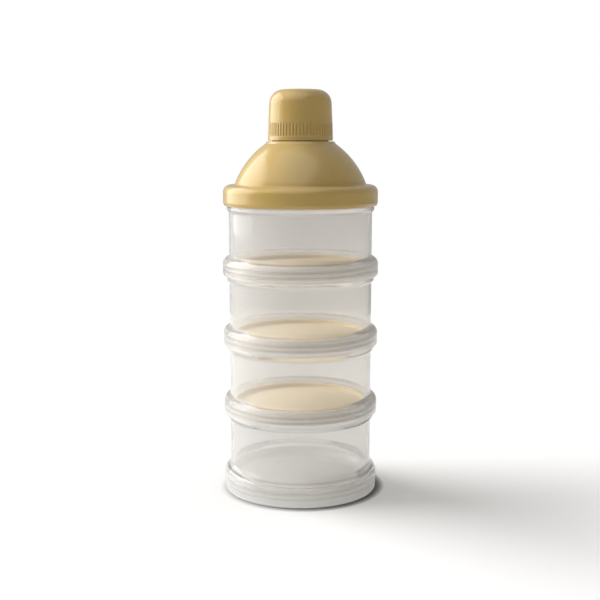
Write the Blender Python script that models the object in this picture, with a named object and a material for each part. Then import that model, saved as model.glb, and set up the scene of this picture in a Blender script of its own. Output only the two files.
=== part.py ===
"""Stacking powder dispenser.

A closed base cup carries three open ring containers, each with a loose divider
disc on its ledge, a funnel lid and a ribbed screw cap. Every piece is turned
about the Z axis. Constants and outlines are in millimetres, meshes in metres.
+Z is up and the origin is the centre of the foot.
"""

import math

import bmesh
import bpy
from mathutils import Vector

MM = 0.001

# ---------------------------------------------------------------- dimensions
STACK_PITCH = 36.04          # height that each container adds to the stack
BODY_OUTER = 36.7            # radius of the plain clear wall
BODY_INNER = 35.2
PLUG_OUTER = 36.5            # wall that reaches down inside the neck below

NECK_OUTER = 37.8
NECK_INNER = 36.8
NECK_TOP = 12.3              # heights here are above the stack level they meet at
FLARE_BOTTOM = 0.6
FLARE_OUTER_TOP = 1.9
FLARE_INNER_TOP = 3.6

COLLAR_RADIUS = 40.0         # widest radius of skirts and foot
SKIRT_INNER = 38.7
SKIRT_BOTTOM = 4.15
SKIRT_RIM = 39.1             # radius of the skirt's lower edge
COLLAR_LOW = 5.6             # the collar is straight between these two heights
COLLAR_LOW_ROUNDING = 1.5
COLLAR_HIGH = 12.36
COLLAR_HIGH_ROUNDING = 3.5
GROOVE_ROOF = 12.6
SHOULDER_TOP = 14.45

LEDGE_INNER = 31.0
LEDGE_BOTTOM = 5.9
LEDGE_TOP = 7.2

FLOOR_BOTTOM = 4.8
FLOOR_TOP = 6.3
FOOT_INNER = 37.8
FOOT_OUTER = 39.6
FOOT_GROOVE_ROOF = 9.5
FOOT_SWELL = 9.35            # height where the foot collar is widest
FOOT_ROUNDING = 6.0
CUP_OUTER_ROUNDING = 4.4
CUP_INNER_ROUNDING = 3.6

DISC_OUTER = 34.9
DISC_LIP_INNER = 33.9
DISC_BOTTOM = 7.5
DISC_FLOOR = 8.8
DISC_LIP_TOP = 11.0

FLANGE_RADIUS = 39.65
FLANGE_RIM = 39.0            # radius of the flange's lower edge
FLANGE_LOW = 5.6
FLANGE_LOW_ROUNDING = 1.5
FLANGE_TOP = 14.4
FLANGE_TOP_ROUNDING = 3.6
LID_PLUG_BOTTOM = 8.0
LID_PLUG_TOP = 11.4          # inside corner between the plug wall and the funnel
FUNNEL_MOUTH = (32.4, 13.4)  # (radius, height) where the funnel lining begins
DOME_WALL = 1.7
DOME_ROOT = (33.5, 15.3)     # (radius, height above the lid's level)
DOME_MIDDLE = (27.5, 26.0)
DOME_SHOULDER = (18.1, 35.1)
DOME_TOP = 36.4
SPOUT_OUTER = 13.2
SPOUT_INNER = 11.2
SPOUT_TOP = 53.8
ROOT_RING = 14.3             # radius of the step that centres the cap on the dome
ROOT_RING_TOP = 37.8

CAP_LIFT = 36.74             # cap's lower rim above the lid's level
CAP_INNER = 14.7
CAP_BEAD = 16.5
CAP_BAND = 16.1
CAP_HEIGHT = 25.6
CAP_SIDE = 16.0              # radius of the plain side above the ribs
CAP_CORNER = 15.5            # where the sloping side would meet the top
CAP_ROUNDING = 7.0
CAP_RIB_HEIGHT = 0.4
CAP_RIB_GAP = 0.3            # half the space between two ribs
CAP_BAND_BOTTOM = 2.5
CAP_BAND_TOP = 8.6
CAP_SIDE_BOTTOM = 14.0
CAP_ROOF = 2.2               # thickness of the top inside the plug ring
CAP_RIM_ROOF = 2.6           # thickness of the top outside it
CAP_SEAT = (12.2, 17.0)      # radius of the flat roof, height where its slope meets the wall
PLUG_RING = (9.9, 10.8)      # inner and outer radius of the ring that seals the spout
PLUG_RING_BOTTOM = 14.4

THREAD_LEAD = 2.5
THREAD_SINK = 0.4            # how far a ridge is buried in its wall
THREAD_RUN_OUT = 3           # facets over which a ridge rises from its wall
NECK_TURNS = 1.5
SPOUT_TURNS = 2.0
CAP_TURNS = 1.5
NECK_THREAD_START = 5.2      # thread heights are above the piece's own level
SKIRT_THREAD_START = 6.4
SPOUT_THREAD_START = 3.0     # above the top of the dome
CAP_THREAD_START = 2.6
RIDGE_ROOT_HALF = 0.95
MALE_CREST = 38.1
FEMALE_CREST = 38.4
SPOUT_CREST = 13.85
CAP_CREST = 14.2

WIDE_FACETS = 32             # facets in one turn of the wide pieces
CAP_FACETS = 60              # one facet to each rib of the cap
ARC_STEP = math.radians(32)  # turn of a fillet between two outline points
CHAMFER_LIMIT = 1.05         # smaller fillets are one straight chamfer
DOME_STEP = math.radians(12)

# ----------------------------------------------------------------- materials
CREAM_YELLOW = (0.73, 0.57, 0.30, 1.0)
CLEAR_PLASTIC = (0.86, 0.84, 0.80, 1.0)
CLEAR_ALPHA = 0.35


def plastic(name, colour, roughness, alpha=1.0):
    """Moulded plastic of one colour."""
    material = bpy.data.materials.new(name)
    material.use_nodes = True
    shader = material.node_tree.nodes["Principled BSDF"]
    shader.inputs["Base Color"].default_value = colour
    shader.inputs["Roughness"].default_value = roughness
    shader.inputs["Metallic"].default_value = 0.0
    shader.inputs["Alpha"].default_value = alpha
    return material


# ------------------------------------------------------------------ outlines
def arc(centre, radius, start, end, step):
    """Points of an arc from the angle start to the angle end."""
    count = max(1, math.ceil(abs(end - start) / step - 1e-6))
    angles = [start + (end - start) * i / count for i in range(count + 1)]
    return [(centre[0] + radius * math.cos(a), centre[1] + radius * math.sin(a)) for a in angles]


def circle_through(first, middle, last):
    """Centre and radius of the circle through three points."""
    (ax, ay), (bx, by), (cx, cy) = first, middle, last
    a2, b2, c2 = ax * ax + ay * ay, bx * bx + by * by, cx * cx + cy * cy
    double_area = 2 * (ax * (by - cy) + bx * (cy - ay) + cx * (ay - by))
    x = (a2 * (by - cy) + b2 * (cy - ay) + c2 * (ay - by)) / double_area
    y = (a2 * (cx - bx) + b2 * (ax - cx) + c2 * (bx - ax)) / double_area
    return (x, y), math.hypot(ax - x, ay - y)


def rounded(corners):
    """Closed outline through (radius, height, fillet) corners, each fillet an arc."""
    points = []
    for i, (r, z, fillet) in enumerate(corners):
        here = Vector((r, z))
        if fillet == 0:
            points.append((r, z))
            continue
        back = (Vector(corners[i - 1][:2]) - here).normalized()
        ahead = (Vector(corners[(i + 1) % len(corners)][:2]) - here).normalized()
        half = back.angle(ahead) / 2
        centre = here + (back + ahead).normalized() * (fillet / math.sin(half))
        tangent = fillet / math.tan(half)
        first = here + back * tangent - centre
        last = here + ahead * tangent - centre
        start = math.atan2(first.y, first.x)
        sweep = math.atan2(first.x * last.y - first.y * last.x, first.dot(last))
        step = ARC_STEP if fillet >= CHAMFER_LIMIT else math.pi
        points += arc(centre, fillet, start, start + sweep, step)
    return points


def neck_outline(level):
    """Outer wall, flare, rim and inner wall of a threaded neck at a stack level."""
    return [
        (BODY_OUTER, level + FLARE_BOTTOM, 0),
        (NECK_OUTER, level + FLARE_OUTER_TOP, 0.8),
        (NECK_OUTER, level + NECK_TOP, 0.35),
        (NECK_INNER, level + NECK_TOP, 0.35),
        (NECK_INNER, level + FLARE_INNER_TOP, 0),
        (BODY_INNER, level + FLARE_BOTTOM, 0),
    ]


def base_outline():
    """Closed cup standing on a foot collar."""
    return rounded([
        (0, FLOOR_BOTTOM, 0),
        (PLUG_OUTER, FLOOR_BOTTOM, CUP_OUTER_ROUNDING),
        (PLUG_OUTER, FOOT_GROOVE_ROOF, 0),
        (FOOT_INNER, FOOT_GROOVE_ROOF, 0),
        (FOOT_INNER, 0, 0),
        (FOOT_OUTER, 0, 0.3),
        (COLLAR_RADIUS, FOOT_SWELL, FOOT_ROUNDING),
        (BODY_OUTER, SHOULDER_TOP, 0),
        *neck_outline(STACK_PITCH),
        (BODY_INNER, FLOOR_TOP, CUP_INNER_ROUNDING),
        (0, FLOOR_TOP, 0),
    ])


def ring_outline():
    """Open container: skirt, body wall and neck, with an inner ledge for its disc."""
    return rounded([
        (SKIRT_INNER, SKIRT_BOTTOM, 0),
        (SKIRT_RIM, SKIRT_BOTTOM, 0.15),
        (COLLAR_RADIUS, COLLAR_LOW, COLLAR_LOW_ROUNDING),
        (COLLAR_RADIUS, COLLAR_HIGH, COLLAR_HIGH_ROUNDING),
        (BODY_OUTER, SHOULDER_TOP, 0),
        *neck_outline(STACK_PITCH),
        (BODY_INNER, LEDGE_TOP, 0),
        (LEDGE_INNER, LEDGE_TOP, 0.3),
        (LEDGE_INNER, LEDGE_BOTTOM, 0),
        (PLUG_OUTER, LEDGE_BOTTOM, 0.5),
        (PLUG_OUTER, GROOVE_ROOF, 0),
        (SKIRT_INNER, GROOVE_ROOF, 0),
    ])


def disc_outline():
    """Thin dished disc with an upturned lip."""
    return rounded([
        (0, DISC_BOTTOM, 0),
        (DISC_OUTER, DISC_BOTTOM, 1.0),
        (DISC_OUTER, DISC_LIP_TOP, 0.45),
        (DISC_LIP_INNER, DISC_LIP_TOP, 0.45),
        (DISC_LIP_INNER, DISC_FLOOR, 0.8),
        (0, DISC_FLOOR, 0),
    ])


def lid_outline():
    """Funnel lid: flange skirt, dome, open spout and a short wall that plugs the neck."""
    centre, radius = circle_through(DOME_ROOT, DOME_MIDDLE, DOME_SHOULDER)

    def angle_of(point):
        return math.atan2(point[1] - centre[1], point[0] - centre[0])

    root, shoulder = angle_of(DOME_ROOT), angle_of(DOME_SHOULDER)
    outside = rounded([
        (DOME_SHOULDER[0] - 0.4, DOME_TOP, 0),
        (ROOT_RING, DOME_TOP, 0),
        (ROOT_RING, ROOT_RING_TOP, 0.3),
        (SPOUT_OUTER, ROOT_RING_TOP, 0),
        (SPOUT_OUTER, SPOUT_TOP, 0.4),
        (SPOUT_INNER, SPOUT_TOP, 0),
        (SPOUT_INNER, DOME_TOP - DOME_WALL, 0),
    ])
    inside = rounded([
        (*FUNNEL_MOUTH, 0),
        (BODY_INNER, LID_PLUG_TOP, 0),
        (BODY_INNER, LID_PLUG_BOTTOM, 0),
        (PLUG_OUTER, LID_PLUG_BOTTOM, 0.5),
        (PLUG_OUTER, GROOVE_ROOF, 0),
        (SKIRT_INNER, GROOVE_ROOF, 0),
        (SKIRT_INNER, SKIRT_BOTTOM, 0),
        (FLANGE_RIM, SKIRT_BOTTOM, 0.15),
        (FLANGE_RADIUS, FLANGE_LOW, FLANGE_LOW_ROUNDING),
        (FLANGE_RADIUS, FLANGE_TOP, FLANGE_TOP_ROUNDING),
        (DOME_ROOT[0] + 0.4, FLANGE_TOP + 0.2, 0),
    ])
    dome = arc(centre, radius, root, shoulder, DOME_STEP)
    lining = arc(centre, radius - DOME_WALL, shoulder, root, DOME_STEP)
    return dome + outside + lining + inside


def cap_outline():
    """Screw cap with a ribbed band, a rounded top and a ring that plugs the spout."""
    return rounded([
        (CAP_INNER, 0, 0),
        (CAP_BEAD, 0, 0.3),
        (CAP_BEAD, CAP_BAND_BOTTOM - 0.2, 0),
        (CAP_BAND, CAP_BAND_BOTTOM, 0),
        (CAP_BAND, CAP_BAND_TOP, 0),
        (CAP_SIDE, CAP_SIDE_BOTTOM, 0),
        (CAP_CORNER, CAP_HEIGHT - 0.1, CAP_ROUNDING),
        (0, CAP_HEIGHT, 0),
        (0, CAP_HEIGHT - CAP_ROOF, 0),
        (PLUG_RING[0], CAP_HEIGHT - CAP_ROOF, 0),
        (PLUG_RING[0], PLUG_RING_BOTTOM, 0),
        (PLUG_RING[1], PLUG_RING_BOTTOM, 0),
        (PLUG_RING[1], CAP_HEIGHT - CAP_RIM_ROOF, 0),
        (CAP_SEAT[0], CAP_HEIGHT - CAP_RIM_ROOF, 0),
        (CAP_INNER, CAP_SEAT[1], 0),
    ])


# -------------------------------------------------------------------- solids
def add_object(name, mesh_data, height, material, parent):
    """Object on the Z axis, its origin at its own stack level."""
    mesh = bpy.data.meshes.new(name)
    mesh_data.to_mesh(mesh)
    mesh_data.free()
    mesh.shade_smooth()
    mesh.set_sharp_from_angle(angle=math.radians(35))
    item = bpy.data.objects.new(name, mesh)
    bpy.context.scene.collection.objects.link(item)
    item.location = (0, 0, height * MM)
    item.parent = parent
    if material is not None:
        mesh.materials.append(material)
    return item


def lathe(outline, facets):
    """Mesh of a closed outline spun once round the Z axis."""
    mesh = bmesh.new()
    ring = [mesh.verts.new((r * MM, 0, z * MM)) for r, z in outline]
    edges = []
    for i, vertex in enumerate(ring):
        following = ring[(i + 1) % len(ring)]
        on_axis = vertex.co.x == 0 and following.co.x == 0
        if not on_axis:
            edges.append(mesh.edges.new((vertex, following)))
    bmesh.ops.spin(mesh, geom=ring + edges, axis=(0, 0, 1), cent=(0, 0, 0),
                   angle=math.tau, steps=facets, use_merge=True)
    bmesh.ops.remove_doubles(mesh, verts=mesh.verts, dist=0.001 * MM)
    bmesh.ops.recalc_face_normals(mesh, faces=mesh.faces)
    return mesh


def thread(name, piece, wall, crest, start, turns, facets):
    """Join a right-handed helical ridge to a piece, run out into the wall at both ends."""
    steps = round(turns * facets)
    mesh = bmesh.new()
    sections = []
    outward = math.copysign(1.0, crest - wall)
    surface = wall * math.cos(math.pi / facets) if outward > 0 else wall
    buried = surface - outward * THREAD_SINK
    sunk = surface - outward * THREAD_SINK / 2
    for i in range(steps + 1):
        angle = math.tau * (i + 0.5) / facets
        height = start + THREAD_LEAD * i / facets
        rise = min(1.0, i / THREAD_RUN_OUT, (steps - i) / THREAD_RUN_OUT)
        tip = sunk + (crest - sunk) * rise
        section = [(buried, height - RIDGE_ROOT_HALF), (tip, height), (buried, height + RIDGE_ROOT_HALF)]
        sections.append([mesh.verts.new((r * math.cos(angle) * MM, r * math.sin(angle) * MM, z * MM))
                         for r, z in section])
    for near, far in zip(sections, sections[1:]):
        for j in range(3):
            k = (j + 1) % 3
            mesh.faces.new((near[j], near[k], far[k], far[j]))
    mesh.faces.new(reversed(sections[0]))
    mesh.faces.new(sections[-1])
    if mesh.calc_volume(signed=True) < 0:
        bmesh.ops.reverse_faces(mesh, faces=mesh.faces)
    ridge = add_object(name, mesh, 0, None, piece)
    ridge.hide_render = True
    ridge.display_type = "WIRE"
    union = piece.modifiers.new(name, "BOOLEAN")
    union.operation = "UNION"
    union.solver = "MANIFOLD"
    union.object = ridge


def raise_ribs(mesh):
    """Raise one rib from each facet of the cap's band."""
    low, high = CAP_BAND_BOTTOM * MM, CAP_BAND_TOP * MM
    middle_height = (low + high) / 2
    band = [face for face in mesh.faces
            if abs(face.calc_center_median().z - middle_height) < 0.1 * MM
            and face.calc_center_median().xy.length > CAP_INNER * MM + 0.5 * MM]
    bmesh.ops.inset_individual(mesh, faces=band, thickness=CAP_RIB_GAP * MM,
                               depth=CAP_RIB_HEIGHT * MM, use_even_offset=True)


# -------------------------------------------------------------------- pieces
def build_base(parent):
    material = plastic("base_container_clear", CLEAR_PLASTIC, 0.12, CLEAR_ALPHA)
    piece = add_object("base_container", lathe(base_outline(), WIDE_FACETS), 0, material, parent)
    start = STACK_PITCH + NECK_THREAD_START
    thread("base_neck_thread", piece, NECK_OUTER, MALE_CREST, start, NECK_TURNS, WIDE_FACETS)


def build_ring(name, level, parent):
    material = plastic(name + "_clear", CLEAR_PLASTIC, 0.12, CLEAR_ALPHA)
    piece = add_object(name, lathe(ring_outline(), WIDE_FACETS), level, material, parent)
    start = STACK_PITCH + NECK_THREAD_START
    thread(name + "_neck_thread", piece, NECK_OUTER, MALE_CREST, start, NECK_TURNS, WIDE_FACETS)
    start = SKIRT_THREAD_START
    thread(name + "_skirt_thread", piece, SKIRT_INNER, FEMALE_CREST, start, NECK_TURNS, WIDE_FACETS)


def build_divider(name, level, parent):
    material = plastic(name + "_yellow", CREAM_YELLOW, 0.35)
    add_object(name, lathe(disc_outline(), WIDE_FACETS), level, material, parent)


def build_lid(level, parent):
    material = plastic("dome_lid_yellow", CREAM_YELLOW, 0.28)
    piece = add_object("dome_lid", lathe(lid_outline(), WIDE_FACETS), level, material, parent)
    start = SKIRT_THREAD_START
    thread("lid_skirt_thread", piece, SKIRT_INNER, FEMALE_CREST, start, NECK_TURNS, WIDE_FACETS)
    start = DOME_TOP + SPOUT_THREAD_START
    thread("spout_thread", piece, SPOUT_OUTER, SPOUT_CREST, start, SPOUT_TURNS, WIDE_FACETS)


def build_cap(level, parent):
    material = plastic("spout_cap_yellow", CREAM_YELLOW, 0.28)
    mesh = lathe(cap_outline(), CAP_FACETS)
    raise_ribs(mesh)
    piece = add_object("spout_cap", mesh, level, material, parent)
    thread("cap_thread", piece, CAP_INNER, CAP_CREST, CAP_THREAD_START, CAP_TURNS, CAP_FACETS)


def main():
    for item in list(bpy.data.objects):
        bpy.data.objects.remove(item, do_unlink=True)
    stack = bpy.data.objects.new("dispenser", None)
    bpy.context.scene.collection.objects.link(stack)
    build_base(stack)
    for number, place in enumerate(("lower", "middle", "top"), start=1):
        level = number * STACK_PITCH
        build_ring(place + "_container", level, stack)
        build_divider(place + "_divider", level, stack)
    lid_level = 4 * STACK_PITCH
    build_lid(lid_level, stack)
    build_cap(lid_level + CAP_LIFT, stack)


main()
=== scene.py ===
"""Looks of a stacking powder dispenser: four clear compartments, three yellow
divider discs, a domed funnel lid and a ribbed screw cap.

Every piece is turned about the Z axis. Outlines are in millimetres, as (radius,
height above the piece's own stack level); meshes are in metres.
"""

import math

import bmesh
import bpy
import numpy as np
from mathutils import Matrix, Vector


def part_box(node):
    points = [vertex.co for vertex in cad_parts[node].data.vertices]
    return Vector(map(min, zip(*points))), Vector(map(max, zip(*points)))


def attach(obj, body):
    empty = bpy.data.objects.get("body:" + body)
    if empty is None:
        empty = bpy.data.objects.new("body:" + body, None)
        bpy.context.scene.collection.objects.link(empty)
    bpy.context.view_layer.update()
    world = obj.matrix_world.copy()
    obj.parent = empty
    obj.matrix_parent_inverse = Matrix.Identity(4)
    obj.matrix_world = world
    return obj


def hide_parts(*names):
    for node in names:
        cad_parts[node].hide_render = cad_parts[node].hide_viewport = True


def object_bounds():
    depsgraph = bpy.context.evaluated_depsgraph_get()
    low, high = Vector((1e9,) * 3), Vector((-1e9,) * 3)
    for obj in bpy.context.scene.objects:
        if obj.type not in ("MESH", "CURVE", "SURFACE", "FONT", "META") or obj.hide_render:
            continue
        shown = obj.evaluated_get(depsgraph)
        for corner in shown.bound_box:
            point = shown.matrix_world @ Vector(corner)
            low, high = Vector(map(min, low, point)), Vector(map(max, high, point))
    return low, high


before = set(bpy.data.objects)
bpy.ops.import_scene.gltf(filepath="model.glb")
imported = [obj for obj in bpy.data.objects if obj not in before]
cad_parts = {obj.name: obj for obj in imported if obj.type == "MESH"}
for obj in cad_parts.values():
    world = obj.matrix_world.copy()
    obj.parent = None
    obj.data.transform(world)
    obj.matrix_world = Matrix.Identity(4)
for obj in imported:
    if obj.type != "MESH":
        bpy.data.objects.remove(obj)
cad_box = [list(corner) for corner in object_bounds()]

MM = 0.001

# ---------------------------------------------------------------- dimensions
STACK_PITCH = 36.04
BODY_OUTER = 36.7
BODY_INNER = 35.2
PLUG_OUTER = 36.5

NECK_OUTER = 37.8
NECK_INNER = 36.8
NECK_TOP = 12.3
FLARE_BOTTOM = 0.6
FLARE_OUTER_TOP = 1.9
FLARE_INNER_TOP = 3.6

COLLAR_RADIUS = 39.98
SKIRT_INNER = 38.7
SKIRT_BOTTOM = 4.15
SKIRT_RIM = 39.25            # radius of the skirt's lower edge
COLLAR_LOW = 5.3             # the collar is straight between these two heights
COLLAR_LOW_ROUNDING = 1.5
COLLAR_HIGH = 12.36
COLLAR_HIGH_ROUNDING = 3.5
GROOVE_ROOF = 12.6
SHOULDER_TOP = 14.45

LEDGE_INNER = 31.0
LEDGE_BOTTOM = 5.9
LEDGE_TOP = 7.2

FLOOR_BOTTOM = 4.8
FLOOR_TOP = 6.3
FOOT_INNER = 37.8
FOOT_OUTER = 39.6
FOOT_GROOVE_ROOF = 9.5
FOOT_SWELL = 9.35            # height where the foot collar is widest
FOOT_ROUNDING = 6.0
CUP_OUTER_ROUNDING = 4.4
CUP_INNER_ROUNDING = 3.6

DISC_OUTER = 34.9
DISC_LIP_INNER = 33.9
DISC_BOTTOM = 7.5
DISC_FLOOR = 8.8
DISC_LIP_TOP = 11.0
DISC_STEP = (29.0, 29.6)     # inner and outer radius of the step under the disc
DISC_STEP_RISE = 0.3

FLANGE_RADIUS = 39.65
FLANGE_RIM = 39.0            # radius of the flange's lower edge
FLANGE_LOW = 5.6
FLANGE_LOW_ROUNDING = 1.5
FLANGE_TOP = 14.4
FLANGE_TOP_ROUNDING = 3.6
LID_PLUG_BOTTOM = 8.0
LID_PLUG_TOP = 11.4          # inside corner between the plug wall and the funnel
DOME_WALL = 1.7
DOME_ROOT = (33.5, 15.3)
DOME_MIDDLE = (27.5, 26.0)
DOME_SHOULDER = (18.1, 35.1)
DOME_TOP = 36.4
SPOUT_OUTER = 13.2
SPOUT_INNER = 11.2
SPOUT_TOP = 53.8
ROOT_RING = 14.3
ROOT_RING_TOP = 37.8

CAP_INNER = 14.7
CAP_BEAD = 16.5
CAP_BAND = (16.45, 16.25)     # radius at the foot and at the top of the ribs
CAP_HEIGHT = 25.6
CAP_SIDE = 16.0              # radius of the plain side above the ribs
CAP_CORNER = 15.5            # where the sloping side would meet the top
CAP_ROUNDING = 7.0
CAP_RIBS = 60
CAP_GROOVE_DEPTH = 0.42
CAP_BAND_BOTTOM = 2.4
CAP_BAND_TOP = 9.0
CAP_SIDE_BOTTOM = 14.0
CAP_ROOF = 2.2               # thickness of the top inside the plug ring
CAP_RIM_ROOF = 2.6           # thickness of the top outside it
CAP_SEAT = (12.2, 17.0)      # radius of the flat roof, height where its slope meets the wall
PLUG_RING = (9.9, 10.8)      # inner and outer radius of the ring that seals the spout
PLUG_RING_BOTTOM = 14.4

THREAD_LEAD = 2.5
RIDGE_HALF = 0.85            # half the width of a thread ridge at its root
RIDGE_FADE = math.radians(25)
MALE_CREST = 38.1
FEMALE_CREST = 38.4
SPOUT_CREST = 13.85
CAP_CREST = 14.2
THREAD_TURNS = 2.25
SPOUT_TURNS = 3.0
CAP_TURNS = 2.5
NECK_THREAD_START = 4.6      # thread heights are above the piece's own level
SKIRT_THREAD_START = 5.4
FOOT_THREAD_START = 2.0
SPOUT_THREAD_START = 1.6     # above the top of the root ring
CAP_THREAD_START = 2.2
NECK_ROWS = (3.0, 11.6)      # heights between which a wall is meshed finely enough for a thread
SKIRT_ROWS = (12.0, 4.9)
FOOT_ROWS = (9.2, 0.4)
CAP_ROWS = (11.0, 1.2)

COLUMNS = 180                # mesh columns in one turn
RIBBED_COLUMNS = CAP_RIBS * 8
ARC_STEP = math.radians(11)
ROW = 0.2                    # height between the mesh rows of a threaded wall
MERGE_DISTANCE = 0.001       # outline points closer than this are one point
SUPPORT = 0.2                # a long straight run has a row this close to each end


# ------------------------------------------------------------------ outlines
def arc(centre, radius, start, end, step=ARC_STEP):
    """Points of an arc from the angle start to the angle end."""
    count = max(2, math.ceil(abs(end - start) / step))
    angles = [start + (end - start) * i / count for i in range(count + 1)]
    return [(centre[0] + radius * math.cos(a), centre[1] + radius * math.sin(a)) for a in angles]


def circle_through(first, middle, last):
    """Centre and radius of the circle through three points."""
    (ax, ay), (bx, by), (cx, cy) = first, middle, last
    a2, b2, c2 = ax * ax + ay * ay, bx * bx + by * by, cx * cx + cy * cy
    double_area = 2 * (ax * (by - cy) + bx * (cy - ay) + cx * (ay - by))
    x = (a2 * (by - cy) + b2 * (cy - ay) + c2 * (ay - by)) / double_area
    y = (a2 * (cx - bx) + b2 * (ax - cx) + c2 * (bx - ax)) / double_area
    return (x, y), math.hypot(ax - x, ay - y)


def rounded(corners):
    """Closed outline through (radius, height, fillet) corners, each fillet an arc."""
    points = []
    for i, (r, z, fillet) in enumerate(corners):
        here = Vector((r, z))
        if fillet == 0:
            points.append((r, z))
            continue
        back = (Vector(corners[i - 1][:2]) - here).normalized()
        ahead = (Vector(corners[(i + 1) % len(corners)][:2]) - here).normalized()
        half = back.angle(ahead) / 2
        centre = here + (back + ahead).normalized() * (fillet / math.sin(half))
        tangent = fillet / math.tan(half)
        first = here + back * tangent - centre
        last = here + ahead * tangent - centre
        start = math.atan2(first.y, first.x)
        sweep = math.atan2(first.x * last.y - first.y * last.x, first.dot(last))
        points += arc(centre, fillet, start, start + sweep)
    return points


def with_supports(points):
    """Outline with an extra point near both ends of every long straight run, so that it shades flat."""
    outline = []
    for (r, z), (next_r, next_z) in zip(points, points[1:] + points[:1]):
        outline.append((r, z))
        length = math.hypot(next_r - r, next_z - z)
        if length > 4 * SUPPORT:
            for part in (SUPPORT / length, 1 - SUPPORT / length):
                outline.append((r + (next_r - r) * part, z + (next_z - z) * part))
    return outline


def rows(radii, start, end, pitch=ROW):
    """Corners along a straight wall between two radii, close enough to carry a thread or ribs."""
    count = math.ceil(abs(end - start) / pitch)
    first, last = radii
    return [(first + (last - first) * i / count, start + (end - start) * i / count, 0)
            for i in range(count + 1)]


def neck_corners(level):
    """Flare, threaded outer wall, rim and inner wall of a neck at a stack level."""
    return [
        (BODY_OUTER, level + FLARE_BOTTOM, 0.8),
        (NECK_OUTER, level + FLARE_OUTER_TOP, 0.8),
        *rows((NECK_OUTER, NECK_OUTER), level + NECK_ROWS[0], level + NECK_ROWS[1]),
        (NECK_OUTER, level + NECK_TOP, 0.35),
        (NECK_INNER, level + NECK_TOP, 0.35),
        (NECK_INNER, level + FLARE_INNER_TOP, 1.0),
        (BODY_INNER, level + FLARE_BOTTOM, 1.0),
    ]


def base_outline():
    """Closed cup standing on a foot collar."""
    return rounded([
        (0, FLOOR_BOTTOM, 0),
        (PLUG_OUTER, FLOOR_BOTTOM, CUP_OUTER_ROUNDING),
        (PLUG_OUTER, FOOT_GROOVE_ROOF, 0.2),
        (FOOT_INNER, FOOT_GROOVE_ROOF, 0.2),
        *rows((FOOT_INNER, FOOT_INNER), *FOOT_ROWS),
        (FOOT_INNER, 0, 0.2),
        (FOOT_OUTER, 0, 0.3),
        (COLLAR_RADIUS, FOOT_SWELL, FOOT_ROUNDING),
        (BODY_OUTER, SHOULDER_TOP, 1.2),
        *neck_corners(STACK_PITCH),
        (BODY_INNER, FLOOR_TOP, CUP_INNER_ROUNDING),
        (0, FLOOR_TOP, 0),
    ])


def ring_outline():
    """Open container: skirt, body wall and neck, with an inner ledge for its disc."""
    return rounded([
        *rows((SKIRT_INNER, SKIRT_INNER), *SKIRT_ROWS),
        (SKIRT_INNER, SKIRT_BOTTOM, 0.15),
        (SKIRT_RIM, SKIRT_BOTTOM, 0.15),
        (COLLAR_RADIUS, COLLAR_LOW, COLLAR_LOW_ROUNDING),
        (COLLAR_RADIUS, COLLAR_HIGH, COLLAR_HIGH_ROUNDING),
        (BODY_OUTER, SHOULDER_TOP, 0.8),
        *neck_corners(STACK_PITCH),
        (BODY_INNER, LEDGE_TOP, 0.4),
        (LEDGE_INNER, LEDGE_TOP, 0.3),
        (LEDGE_INNER, LEDGE_BOTTOM, 0.3),
        (PLUG_OUTER, LEDGE_BOTTOM, 0.5),
        (PLUG_OUTER, GROOVE_ROOF, 0.25),
        (SKIRT_INNER, GROOVE_ROOF, 0.25),
    ])


def disc_outline():
    """Thin dished disc with an upturned lip and a low step near its rim."""
    return rounded([
        (0, DISC_BOTTOM + DISC_STEP_RISE, 0),
        (DISC_STEP[0], DISC_BOTTOM + DISC_STEP_RISE, 0.3),
        (DISC_STEP[1], DISC_BOTTOM, 0.3),
        (DISC_OUTER, DISC_BOTTOM, 1.0),
        (DISC_OUTER, DISC_LIP_TOP, 0.4),
        (DISC_LIP_INNER, DISC_LIP_TOP, 0.4),
        (DISC_LIP_INNER, DISC_FLOOR, 0.9),
        (0, DISC_FLOOR, 0),
    ])


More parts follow.
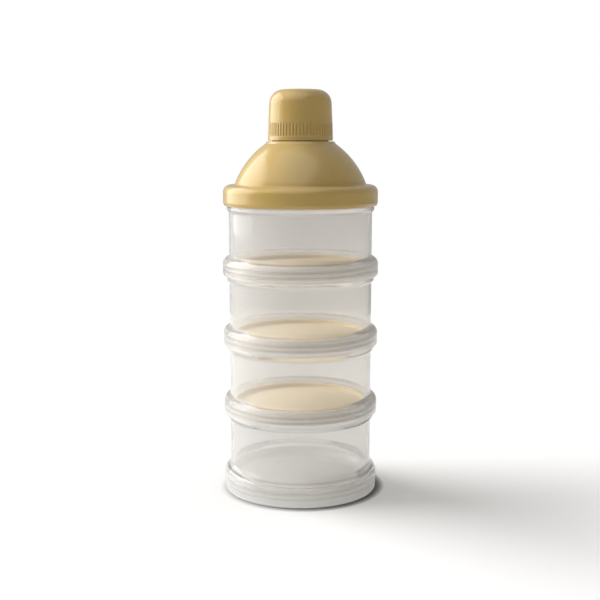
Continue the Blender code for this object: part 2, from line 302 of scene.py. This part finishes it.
def lid_outline():
    """Funnel lid: flange skirt, dome, open spout and a short wall that plugs the neck."""
    centre, radius = circle_through(DOME_ROOT, DOME_MIDDLE, DOME_SHOULDER)

    def angle_of(point):
        return math.atan2(point[1] - centre[1], point[0] - centre[0])

    root, shoulder = angle_of(DOME_ROOT), angle_of(DOME_SHOULDER)
    dome = arc(centre, radius, root + math.radians(2), shoulder, math.radians(2.5))
    lining = arc(centre, radius - DOME_WALL, shoulder, root, math.radians(2.5))
    top = rounded([
        (*dome[-1], 0),
        (DOME_SHOULDER[0] - 1.0, DOME_TOP, 0.5),
        (ROOT_RING, DOME_TOP, 0.3),
        (ROOT_RING, ROOT_RING_TOP, 0.4),
        (SPOUT_OUTER, ROOT_RING_TOP, 0.3),
        *rows((SPOUT_OUTER, SPOUT_OUTER), ROOT_RING_TOP + 0.5, SPOUT_TOP - 1.2),
        (SPOUT_OUTER, SPOUT_TOP, 0.5),
        (SPOUT_INNER, SPOUT_TOP, 0.5),
        (SPOUT_INNER, DOME_TOP - DOME_WALL, 1.2),
        (*lining[0], 0),
    ])
    skirt = rounded([
        (*lining[-1], 0),
        (BODY_INNER, LID_PLUG_TOP, 1.0),
        (BODY_INNER, LID_PLUG_BOTTOM, 0.3),
        (PLUG_OUTER, LID_PLUG_BOTTOM, 0.5),
        (PLUG_OUTER, GROOVE_ROOF, 0.25),
        (SKIRT_INNER, GROOVE_ROOF, 0.25),
        *rows((SKIRT_INNER, SKIRT_INNER), *SKIRT_ROWS),
        (SKIRT_INNER, SKIRT_BOTTOM, 0.15),
        (FLANGE_RIM, SKIRT_BOTTOM, 0.15),
        (FLANGE_RADIUS, FLANGE_LOW, FLANGE_LOW_ROUNDING),
        (FLANGE_RADIUS, FLANGE_TOP, FLANGE_TOP_ROUNDING),
        (DOME_ROOT[0] + 0.2, FLANGE_TOP + 0.2, 0.7),
        (*dome[0], 0),
    ])
    return dome[:-1] + top[:-1] + lining[1:-1] + skirt[1:-1]


def cap_outline():
    """Screw cap with a ribbed band, a rounded top and a ring that plugs the spout."""
    return rounded([
        *rows((CAP_INNER, CAP_INNER), *CAP_ROWS),
        (CAP_INNER, 0, 0.3),
        (CAP_BEAD, 0, 0.35),
        (CAP_BEAD, CAP_BAND_BOTTOM - 0.25, 0.15),
        (CAP_BAND[0] - 0.05, CAP_BAND_BOTTOM - 0.1, 0),
        *rows(CAP_BAND, CAP_BAND_BOTTOM, CAP_BAND_TOP, 0.3),
        (CAP_SIDE, CAP_SIDE_BOTTOM, 6.0),
        (CAP_CORNER, CAP_HEIGHT - 0.1, CAP_ROUNDING),
        (0, CAP_HEIGHT, 0),
        (0, CAP_HEIGHT - CAP_ROOF, 0),
        (PLUG_RING[0], CAP_HEIGHT - CAP_ROOF, 0.3),
        (PLUG_RING[0], PLUG_RING_BOTTOM, 0.3),
        (PLUG_RING[1], PLUG_RING_BOTTOM, 0.3),
        (PLUG_RING[1], CAP_HEIGHT - CAP_RIM_ROOF, 0.3),
        (CAP_SEAT[0], CAP_HEIGHT - CAP_RIM_ROOF, 1.2),
        (CAP_INNER, CAP_SEAT[1], 2.0),
    ])


# -------------------------------------------------------------------- meshes
class Turned:
    """Closed outline spun round the Z axis, as a grid of radii and heights (outline point, column)."""

    def __init__(self, outline, columns=COLUMNS):
        points = np.array(with_supports(outline))
        following = np.roll(points, -1, axis=0)
        runs_clockwise = np.sum(points[:, 0] * following[:, 1] - following[:, 0] * points[:, 1]) < 0
        if runs_clockwise:
            points = points[::-1]
        gaps = np.linalg.norm(points - np.roll(points, 1, axis=0), axis=1)
        points = points[gaps > MERGE_DISTANCE]
        self.angle = np.arange(columns) * math.tau / columns
        self.radius = np.repeat(points[:, :1], columns, axis=1)
        self.height = np.repeat(points[:, 1:], columns, axis=1)

    def raise_thread(self, wall, crest, start, turns):
        """Raise a right-handed helical ridge from a wall, faded out at both ends."""
        turn = np.round((self.height - start) / THREAD_LEAD - self.angle / math.tau)
        along = self.angle + turn * math.tau
        off_centre = np.abs(self.height - start - THREAD_LEAD * along / math.tau) / RIDGE_HALF
        swell = np.minimum(1.0, 1.5 * np.cos(np.minimum(off_centre, 1.0) * math.pi / 2) ** 2)
        fade = np.clip(np.minimum(along, turns * math.tau - along) / RIDGE_FADE, 0.0, 1.0)
        on_wall = np.abs(self.radius - wall) < 0.02
        self.radius[on_wall] = (wall + (crest - wall) * swell * fade)[on_wall]

    def cut_ribs(self):
        """Press grooves between the ribs of the cap's band, rounded off at their upper ends."""
        in_band = (self.height > CAP_BAND_BOTTOM - 0.01) & (self.height < CAP_BAND_TOP)
        in_band &= self.radius > CAP_SIDE
        valley = np.maximum(0.0, np.cos(self.angle * CAP_RIBS)) ** 0.7
        lower = np.clip((self.height - CAP_BAND_BOTTOM + 0.15) / 0.3, 0.0, 1.0)
        upper = np.clip((CAP_BAND_TOP - self.height) / 1.2, 0.0, 1.0)
        depth = CAP_GROOVE_DEPTH * valley * lower * np.sin(upper * math.pi / 2)
        self.radius[in_band] -= depth[in_band]

    def mesh(self, name):
        """Mesh in metres; a point on the axis is a single vertex."""
        rows_used, columns = self.radius.shape
        places = np.stack([self.radius * np.cos(self.angle), self.radius * np.sin(self.angle), self.height],
                          axis=-1).reshape(-1, 3) * MM
        index = np.arange(rows_used * columns).reshape(rows_used, columns)
        on_axis = self.radius[:, 0] == 0
        index[on_axis] = index[on_axis, :1]
        faces = []
        for i in range(rows_used):
            k = (i + 1) % rows_used
            near, far = index[i], index[k]
            if on_axis[i] and on_axis[k]:
                continue
            quads = np.stack([near, np.roll(near, -1), np.roll(far, -1), far], axis=-1)
            if on_axis[i]:
                quads = quads[:, [0, 2, 3]]
            elif on_axis[k]:
                quads = quads[:, [0, 1, 2]]
            faces += quads.tolist()
        used = np.unique(np.concatenate([index[~on_axis].ravel(), index[on_axis, 0]]))
        renumbered = {old: new for new, old in enumerate(used.tolist())}
        faces = [[renumbered[corner] for corner in face] for face in faces]
        mesh = bpy.data.meshes.new(name)
        mesh.from_pydata(places[used].tolist(), [], faces)
        return mesh


def add_piece(name, node, turned, level, material):
    """Piece at its stack level that stands for a CAD node and rides on its body."""
    mesh = turned.mesh(name)
    mesh.shade_smooth()
    mesh.set_sharp_from_angle(angle=math.radians(60))
    mesh.materials.append(material)
    piece = bpy.data.objects.new(name, mesh)
    bpy.context.scene.collection.objects.link(piece)
    piece.location = (0, 0, level)
    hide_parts(node)
    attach(piece, node)
    return piece


# ----------------------------------------------------------------- materials
RING_TINT = (0.955, 0.945, 0.93, 1.0)
BASE_TINT = (0.95, 0.94, 0.925, 1.0)
# painted shade: the thread ridges are drawn darker, standing in for the dark lines that refraction draws
# along them
RIDGE_PAINTED_SHADE = (0.69, 0.66, 0.62, 1.0)     # the ridges of the threads
RING_HAZE = 0.18                         # share of the light that the plastic scatters
BASE_HAZE = 0.15
FOOT_HAZE = 0.24
RING_LAMP_TINT = (0.95, 0.945, 0.935, 1.0)
BASE_LAMP_TINT = (0.90, 0.90, 0.90, 1.0)
FOOT_LAMP_TINT = (0.80, 0.80, 0.80, 1.0)
LID_COLOURS = ((0.535, 0.365, 0.10, 1.0), (0.52, 0.35, 0.095, 1.0))
DISC_COLOURS = ((0.81, 0.69, 0.46, 1.0), (0.79, 0.67, 0.44, 1.0))
LID_ROUGHNESS = 0.32
DISC_ROUGHNESS = 0.42
LID_GLOSS = 0.8
DISC_GLOSS = 0.1


def new_material(name):
    """Empty node material and its node maker."""
    material = bpy.data.materials.new(name)
    material.use_nodes = True
    nodes = material.node_tree.nodes
    nodes.clear()
    return material, nodes, material.node_tree.links


def noise(nodes, links, coordinates, scale, detail):
    """Noise texture on object coordinates."""
    texture = nodes.new("ShaderNodeTexNoise")
    texture.inputs["Scale"].default_value = scale
    texture.inputs["Detail"].default_value = detail
    links.new(coordinates.outputs["Object"], texture.inputs["Vector"])
    return texture


def ranged(nodes, links, source, span, result):
    """Source value taken linearly from one range to another, and clamped there."""
    node = nodes.new("ShaderNodeMapRange")
    node.inputs["From Min"].default_value, node.inputs["From Max"].default_value = span
    node.inputs["To Min"].default_value, node.inputs["To Max"].default_value = result
    links.new(source, node.inputs["Value"])
    return node.outputs["Result"]


def multiplied(nodes, links, first, second):
    """Product of two values."""
    node = nodes.new("ShaderNodeMath")
    node.operation = "MULTIPLY"
    links.new(first, node.inputs[0])
    links.new(second, node.inputs[1])
    return node.outputs["Value"]


def remap(nodes, links, source, low, high):
    """Noise value stretched over low..high."""
    return ranged(nodes, links, source, (0.3, 0.7), (low, high))


def cream_plastic(name, light, dark, roughness, gloss):
    """Opaque moulded plastic, slightly mottled, with a faint ripple and a coat that weighs gloss."""
    material, nodes, links = new_material(name)
    coordinates = nodes.new("ShaderNodeTexCoord")
    shader = nodes.new("ShaderNodeBsdfPrincipled")
    output = nodes.new("ShaderNodeOutputMaterial")
    links.new(shader.outputs["BSDF"], output.inputs["Surface"])

    cloud = noise(nodes, links, coordinates, 28.0, 3.0)
    colour = nodes.new("ShaderNodeMix")
    colour.data_type = "RGBA"
    colour.inputs["A"].default_value = light
    colour.inputs["B"].default_value = dark
    links.new(remap(nodes, links, cloud.outputs["Fac"], 0.0, 1.0), colour.inputs["Factor"])
    links.new(colour.outputs["Result"], shader.inputs["Base Color"])

    grain = noise(nodes, links, coordinates, 90.0, 1.0)
    links.new(remap(nodes, links, grain.outputs["Fac"], roughness - 0.015, roughness + 0.015),
              shader.inputs["Roughness"])
    ripple = noise(nodes, links, coordinates, 45.0, 1.0)
    bump = nodes.new("ShaderNodeBump")
    bump.inputs["Strength"].default_value = 0.02
    bump.inputs["Distance"].default_value = 0.0001
    links.new(ripple.outputs["Fac"], bump.inputs["Height"])
    links.new(bump.outputs["Normal"], shader.inputs["Normal"])

    shader.inputs["IOR"].default_value = 1.5
    shader.inputs["Subsurface Weight"].default_value = 0.12
    shader.inputs["Subsurface Radius"].default_value = (1.0, 0.7, 0.35)
    shader.inputs["Subsurface Scale"].default_value = 0.002
    shader.inputs["Coat Weight"].default_value = gloss
    shader.inputs["Coat IOR"].default_value = 1.4
    shader.inputs["Coat Roughness"].default_value = 0.14
    return material


def on_ridge(nodes, links, coordinates):
    """One where the surface lies between a neck's wall and the skirt round it, as the thread ridges do: the
    mask of the painted shade on the ridges.
    """
    split = nodes.new("ShaderNodeSeparateXYZ")
    links.new(coordinates.outputs["Object"], split.inputs["Vector"])
    flat = nodes.new("ShaderNodeCombineXYZ")
    links.new(split.outputs["X"], flat.inputs["X"])
    links.new(split.outputs["Y"], flat.inputs["Y"])
    length = nodes.new("ShaderNodeVectorMath")
    length.operation = "LENGTH"
    links.new(flat.outputs["Vector"], length.inputs[0])
    radius = length.outputs["Value"]
    past_neck = ((NECK_OUTER + 0.03) * MM, (NECK_OUTER + 0.15) * MM)
    near_skirt = ((SKIRT_INNER - 0.15) * MM, (SKIRT_INNER - 0.03) * MM)
    outside_neck = ranged(nodes, links, radius, past_neck, (0.0, 1.0))
    inside_skirt = ranged(nodes, links, radius, near_skirt, (1.0, 0.0))
    return multiplied(nodes, links, outside_neck, inside_skirt)


def clear_plastic(name, tint, haze, lamp_tint):
    """Clear moulded plastic: thin walls that bend light a little, some haze, a glossy skin and painted
    shade along the thread ridges.

    Lamps and bounced light pass straight through to what is inside.
    """
    material, nodes, links = new_material(name)
    coordinates = nodes.new("ShaderNodeTexCoord")
    shader = nodes.new("ShaderNodeBsdfPrincipled")
    # Painted shade: the thread ridges get a darker base colour, standing in for the dark lines that
    # refraction draws along them.
    ridge = nodes.new("ShaderNodeMix")
    ridge.data_type = "RGBA"
    ridge.inputs["A"].default_value = tint
    ridge.inputs["B"].default_value = RIDGE_PAINTED_SHADE
    links.new(on_ridge(nodes, links, coordinates), ridge.inputs["Factor"])
    links.new(ridge.outputs["Result"], shader.inputs["Base Color"])
    shader.inputs["IOR"].default_value = 1.33
    shader.inputs["Transmission Weight"].default_value = 1.0 - haze
    shader.inputs["Specular IOR Level"].default_value = 0.12
    shader.inputs["Coat Weight"].default_value = 0.04
    shader.inputs["Coat IOR"].default_value = 1.49
    shader.inputs["Coat Roughness"].default_value = 0.22
    flow = noise(nodes, links, coordinates, 60.0, 2.0)
    links.new(remap(nodes, links, flow.outputs["Fac"], 0.04, 0.10), shader.inputs["Roughness"])
    ripple = noise(nodes, links, coordinates, 110.0, 1.0)
    bump = nodes.new("ShaderNodeBump")
    bump.inputs["Strength"].default_value = 0.04
    bump.inputs["Distance"].default_value = 0.0005
    links.new(ripple.outputs["Fac"], bump.inputs["Height"])
    links.new(bump.outputs["Normal"], shader.inputs["Normal"])
    links.new(bump.outputs["Normal"], shader.inputs["Coat Normal"])

    lamp_pass = nodes.new("ShaderNodeBsdfTransparent")
    lamp_pass.inputs["Color"].default_value = lamp_tint
    rays = nodes.new("ShaderNodeLightPath")
    either = nodes.new("ShaderNodeMath")
    either.operation = "MAXIMUM"
    links.new(rays.outputs["Is Shadow Ray"], either.inputs[0])
    links.new(rays.outputs["Is Diffuse Ray"], either.inputs[1])
    choose = nodes.new("ShaderNodeMixShader")
    links.new(either.outputs["Value"], choose.inputs["Fac"])
    links.new(shader.outputs["BSDF"], choose.inputs[1])
    links.new(lamp_pass.outputs["BSDF"], choose.inputs[2])
    output = nodes.new("ShaderNodeOutputMaterial")
    links.new(choose.outputs["Shader"], output.inputs["Surface"])
    return material


# -------------------------------------------------------------------- pieces
def level_of(node, lowest):
    """Stack level of a CAD node, from its box and its lowest height above that level."""
    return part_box(node)[0][2] - lowest * MM


def build_base(material, foot_material):
    """Base cup; the thick foot below the cup's floor is hazier and lets less light through."""
    turned = Turned(base_outline())
    turned.raise_thread(NECK_OUTER, MALE_CREST, STACK_PITCH + NECK_THREAD_START, THREAD_TURNS)
    turned.raise_thread(FOOT_INNER, MALE_CREST, FOOT_THREAD_START, THREAD_TURNS)
    piece = add_piece("base_container_shell", "base_container", turned, level_of("base_container", 0),
                      material)
    piece.data.materials.append(foot_material)
    for face in piece.data.polygons:
        in_foot = face.center.z < FOOT_GROOVE_ROOF * MM and face.center.xy.length > (FOOT_INNER - 0.1) * MM
        if in_foot:
            face.material_index = 1


def build_ring(place, material):
    turned = Turned(ring_outline())
    turned.raise_thread(NECK_OUTER, MALE_CREST, STACK_PITCH + NECK_THREAD_START, THREAD_TURNS)
    turned.raise_thread(SKIRT_INNER, FEMALE_CREST, SKIRT_THREAD_START, THREAD_TURNS)
    node = place + "_container"
    add_piece(node + "_shell", node, turned, level_of(node, SKIRT_BOTTOM), material)


def build_divider(place, material):
    node = place + "_divider"
    add_piece(node + "_disc", node, Turned(disc_outline()), level_of(node, DISC_BOTTOM), material)


def build_lid(material):
    turned = Turned(lid_outline())
    turned.raise_thread(SKIRT_INNER, FEMALE_CREST, SKIRT_THREAD_START, THREAD_TURNS)
    turned.raise_thread(SPOUT_OUTER, SPOUT_CREST, ROOT_RING_TOP + SPOUT_THREAD_START, SPOUT_TURNS)
    add_piece("dome_lid_shell", "dome_lid", turned, level_of("dome_lid", SKIRT_BOTTOM), material)


def build_cap(material):
    turned = Turned(cap_outline(), RIBBED_COLUMNS)
    turned.raise_thread(CAP_INNER, CAP_CREST, CAP_THREAD_START, CAP_TURNS)
    turned.cut_ribs()
    add_piece("spout_cap_shell", "spout_cap", turned, level_of("spout_cap", 0), material)


# --------------------------------------------------------------------- stage
CAMERA_PLACE = (0.0, -0.5363, 0.1805)
CAMERA_PITCH = math.radians(8.65)
CAMERA_YAW = math.radians(0.025)
CAMERA_LENS = 62.53
FLOOR_RADIUS = 0.57
# The floor's contact shadow is painted: ambient occlusion darkens the floor's colour round the foot.
CONTACT_REACH = 0.005        # how far out from the foot the floor is darkened
CONTACT_TILT = (-0.68, 0.35, 0.64)   # toward the window, so that side stays light


def build_camera():
    data = bpy.data.cameras.new("camera")
    data.lens = CAMERA_LENS
    data.sensor_width = 36.0
    data.clip_start = 0.01
    camera = bpy.data.objects.new("camera", data)
    camera.location = CAMERA_PLACE
    camera.rotation_euler = (math.radians(90) - CAMERA_PITCH, 0, CAMERA_YAW)
    bpy.context.scene.collection.objects.link(camera)
    bpy.context.scene.camera = camera


def build_floor():
    mesh = bmesh.new()
    bmesh.ops.create_circle(mesh, cap_ends=True, segments=96, radius=FLOOR_RADIUS)
    data = bpy.data.meshes.new("studio_floor")
    mesh.to_mesh(data)
    mesh.free()
    material, nodes, links = new_material("studio_floor")
    paper = nodes.new("ShaderNodeBsdfDiffuse")
    # Painted shade: every ray but the camera's sees a darker copy of the floor, so it bounces less light
    # onto the object and shows darker in its reflections.
    bounce = nodes.new("ShaderNodeBsdfDiffuse")
    bounce.inputs["Color"].default_value = (0.75, 0.75, 0.74, 1.0)
    # Painted contact shadow: ambient occlusion, tilted toward the window, darkens the paper's colour round
    # the foot.
    contact = nodes.new("ShaderNodeAmbientOcclusion")
    contact.inputs["Distance"].default_value = CONTACT_REACH
    contact.samples = 8
    tilt = nodes.new("ShaderNodeCombineXYZ")
    for axis, value in zip("XYZ", CONTACT_TILT):
        tilt.inputs[axis].default_value = value
    links.new(tilt.outputs["Vector"], contact.inputs["Normal"])
    painted_contact_shadow = multiplied(nodes, links, contact.outputs["AO"], contact.outputs["AO"])
    paper_and_painted_shadow = nodes.new("ShaderNodeMix")
    paper_and_painted_shadow.data_type = "RGBA"
    paper_and_painted_shadow.inputs["A"].default_value = (0.0, 0.0, 0.0, 1.0)
    paper_and_painted_shadow.inputs["B"].default_value = (0.90, 0.90, 0.90, 1.0)
    links.new(painted_contact_shadow, paper_and_painted_shadow.inputs["Factor"])
    links.new(paper_and_painted_shadow.outputs["Result"], paper.inputs["Color"])
    rays = nodes.new("ShaderNodeLightPath")
    choose = nodes.new("ShaderNodeMixShader")
    links.new(rays.outputs["Is Camera Ray"], choose.inputs["Fac"])
    links.new(bounce.outputs["BSDF"], choose.inputs[1])
    links.new(paper.outputs["BSDF"], choose.inputs[2])
    output = nodes.new("ShaderNodeOutputMaterial")
    links.new(choose.outputs["Shader"], output.inputs["Surface"])
    data.materials.append(material)
    floor = bpy.data.objects.new("studio_floor", data)
    floor.location = (0, 0, cad_box[0][2] - 0.0002)
    bpy.context.scene.collection.objects.link(floor)


def aim(item, target):
    """Turn a lamp so that it shines at the target."""
    item.rotation_euler = (Vector(target) - item.location).to_track_quat("-Z", "Y").to_euler()


def add_panel(name, place, target, size, energy):
    """Rectangular soft light aimed at a point."""
    data = bpy.data.lights.new(name, "AREA")
    data.shape = "RECTANGLE"
    data.size, data.size_y = size
    data.energy = energy
    panel = bpy.data.objects.new(name, data)
    panel.location = place
    aim(panel, target)
    panel.visible_transmission = False
    bpy.context.scene.collection.objects.link(panel)
    return panel


def build_lights():
    """A window on the left, its reflection, and a soft fill beside and above."""
    sun_data = bpy.data.lights.new("key_sun", "SUN")
    sun_data.energy = 3.6
    sun_data.angle = math.radians(48)
    sun = bpy.data.objects.new("key_sun", sun_data)
    sun.location = (-0.9, 0.32, 0.62)
    aim(sun, (0, 0, 0))
    sun.visible_glossy = False
    bpy.context.scene.collection.objects.link(sun)

    window = add_panel("window_panel", (-0.9, 0.29, 0.5), (0, 0, 0.15), (1.1, 1.0), 8.5)
    window.visible_diffuse = False
    fill = add_panel("side_fill", (-1.18, -0.2, 0.32), (0, 0, 0.12), (0.7, 0.5), 3.4)
    fill.visible_glossy = False
    ceiling = add_panel("ceiling_panel", (-0.25, -0.5, 1.3), (0, 0, 0.15), (1.5, 1.5), 7.0)
    ceiling.visible_diffuse = False


def build_world():
    """White to the camera; a softer studio, brighter on the left, to everything else."""
    world = bpy.data.worlds.new("studio")
    bpy.context.scene.world = world
    world.use_nodes = True
    nodes, links = world.node_tree.nodes, world.node_tree.links
    nodes.clear()
    direction = nodes.new("ShaderNodeTexCoord")
    split = nodes.new("ShaderNodeSeparateXYZ")
    links.new(direction.outputs["Generated"], split.inputs["Vector"])
    side = ranged(nodes, links, split.outputs["X"], (-1.0, 1.0), (0.70, 0.58))
    depth = ranged(nodes, links, split.outputs["Y"], (-1.0, 0.0), (0.8, 1.0))
    overhead = ranged(nodes, links, split.outputs["Z"], (0.3, 1.0), (1.0, 1.3))
    rays = nodes.new("ShaderNodeLightPath")
    seen_through = ranged(nodes, links, rays.outputs["Is Transmission Ray"], (0.0, 1.0), (0.7, 1.0))
    strength = multiplied(nodes, links, multiplied(nodes, links, side, depth), overhead)
    strength = multiplied(nodes, links, strength, seen_through)
    studio = nodes.new("ShaderNodeBackground")
    studio.inputs["Color"].default_value = (1.0, 0.99, 0.975, 1.0)
    links.new(strength, studio.inputs["Strength"])
    paper = nodes.new("ShaderNodeBackground")
    paper.inputs["Color"].default_value = (1.0, 1.0, 1.0, 1.0)
    choose = nodes.new("ShaderNodeMixShader")
    links.new(rays.outputs["Is Camera Ray"], choose.inputs["Fac"])
    links.new(studio.outputs["Background"], choose.inputs[1])
    links.new(paper.outputs["Background"], choose.inputs[2])
    output = nodes.new("ShaderNodeOutputWorld")
    links.new(choose.outputs["Shader"], output.inputs["Surface"])


def set_light_paths():
    """Enough bounces for a view through four nested clear walls, and a plain tone curve."""
    scene = bpy.context.scene
    scene.cycles.max_bounces = 32
    scene.cycles.transmission_bounces = 32
    scene.cycles.transparent_max_bounces = 32
    scene.view_settings.view_transform = "Standard"


def main():
    build_camera()
    build_floor()
    build_lights()
    build_world()
    set_light_paths()
    clear = clear_plastic("clear_plastic_ring", RING_TINT, RING_HAZE, RING_LAMP_TINT)
    base_clear = clear_plastic("clear_plastic_base", BASE_TINT, BASE_HAZE, BASE_LAMP_TINT)
    foot_clear = clear_plastic("clear_plastic_foot", BASE_TINT, FOOT_HAZE, FOOT_LAMP_TINT)
    lid_cream = cream_plastic("cream_plastic_lid", *LID_COLOURS, LID_ROUGHNESS, LID_GLOSS)
    disc_cream = cream_plastic("cream_plastic_disc", *DISC_COLOURS, DISC_ROUGHNESS, DISC_GLOSS)
    build_base(base_clear, foot_clear)
    for place in ("lower", "middle", "top"):
        build_ring(place, clear)
        build_divider(place, disc_cream)
    build_lid(lid_cream)
    build_cap(lid_cream)


main()
